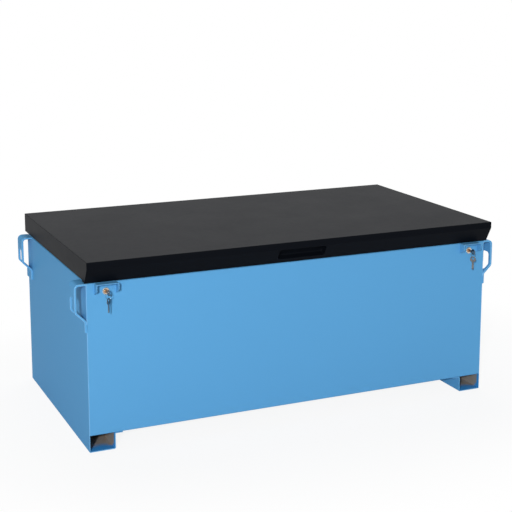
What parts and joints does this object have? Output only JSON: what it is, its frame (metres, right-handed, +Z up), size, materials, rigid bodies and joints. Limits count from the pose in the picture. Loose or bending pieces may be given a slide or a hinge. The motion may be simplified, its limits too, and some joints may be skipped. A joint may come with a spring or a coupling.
{
  "type": "jobsite storage box",
  "caption": "Long welded sheet steel storage chest on open skids, with an overhanging hinged lid, hooded key locks and bent plate lifting handles.",
  "frame": {"origin": "centre of the footprint, on the floor under the skids", "axes": "+X along the box's length to the right end as seen from the front, +Y to the hinged rear, +Z up"},
  "size_m": [1.576, 0.842, 0.642],
  "materials": {
    "blue_paint": "gloss powder coat",
    "black_paint": "satin powder coat",
    "zinc_steel": "zinc plated",
    "nickel": "polished nickel plate",
    "plug_brass": "polished",
    "seal_rubber": "matt foam rubber"
  },
  "bodies": {
    "box": {"front_panel": "blue_paint", "rear_panel": "blue_paint", "left_end_panel": "blue_paint", "right_end_panel": "blue_paint", "floor_panel": "blue_paint", "left_skid": "blue_paint", "right_skid": "blue_paint", "left_front_handle": "blue_paint", "left_rear_handle": "blue_paint", "left_lock_hood": "blue_paint", "right_front_handle": "blue_paint", "right_rear_handle": "blue_paint", "right_lock_hood": "blue_paint", "left_lock_barrel": "nickel", "right_lock_barrel": "nickel", "left_lock_nut": "zinc_steel", "right_lock_nut": "zinc_steel", "rim_seal": "seal_rubber", "hinge_body_leaf": "zinc_steel", "hinge_pin": "zinc_steel", "hinge_rivets": "zinc_steel", "prop_rest": "zinc_steel"},
    "lid": {"lid_skin": "black_paint", "left_lid_end": "black_paint", "right_lid_end": "black_paint", "lid_finger_pocket": "black_paint", "left_lid_rail": "black_paint", "right_lid_rail": "black_paint", "lid_rear_rail": "black_paint", "left_lid_rib": "black_paint", "right_lid_rib": "black_paint", "left_lock_keeper": "zinc_steel", "right_lock_keeper": "zinc_steel", "hinge_lid_leaf": "zinc_steel", "prop_bracket": "zinc_steel", "prop_clip": "zinc_steel"},
    "prop": {"prop_rod": "zinc_steel", "prop_push_nut": "zinc_steel"},
    "left_lock": {"left_lock_plug": "plug_brass", "left_lock_cam": "zinc_steel", "left_cam_screw": "zinc_steel", "left_key": "nickel"},
    "left_ring": {"left_key_ring": "nickel"},
    "left_spare": {"left_spare_key": "nickel"},
    "right_lock": {"right_lock_plug": "plug_brass", "right_lock_cam": "zinc_steel", "right_cam_screw": "zinc_steel", "right_key": "nickel"},
    "right_ring": {"right_key_ring": "nickel"},
    "right_spare": {"right_spare_key": "nickel"}
  },
  "joints": [
    {"name": "lid_hinge", "type": "hinge", "parent": "box", "child": "lid", "pos_m": [0, 0.415, 0.568], "axis": [-1, 0, 0], "range_deg": [0, 80]},
    {"name": "prop_swing", "type": "hinge", "parent": "lid", "child": "prop", "pos_m": [0.708, 0.065, 0.598], "axis": [1, 0, 0], "range_deg": [0, 140.5]},
    {"name": "left_lock_turn", "type": "hinge", "parent": "box", "child": "left_lock", "pos_m": [-0.685, -0.381, 0.536], "axis": [0, 1, 0], "range_deg": [0, 90]},
    {"name": "left_ring_swing", "type": "hinge", "parent": "left_lock", "child": "left_ring", "pos_m": [-0.685, -0.411, 0.5335], "axis": [-1, 0, 0], "range_deg": [0, 60]},
    {"name": "left_spare_swing", "type": "hinge", "parent": "left_ring", "child": "left_spare", "pos_m": [-0.685, -0.411, 0.5155], "axis": [-1, 0, 0], "range_deg": [0, 60]},
    {"name": "right_lock_turn", "type": "hinge", "parent": "box", "child": "right_lock", "pos_m": [0.685, -0.381, 0.536], "axis": [0, -1, 0], "range_deg": [0, 90]},
    {"name": "right_ring_swing", "type": "hinge", "parent": "right_lock", "child": "right_ring", "pos_m": [0.685, -0.411, 0.5335], "axis": [-1, 0, 0], "range_deg": [0, 60]},
    {"name": "right_spare_swing", "type": "hinge", "parent": "right_ring", "child": "right_spare", "pos_m": [0.685, -0.411, 0.5155], "axis": [-1, 0, 0], "range_deg": [0, 60]}
  ]
}
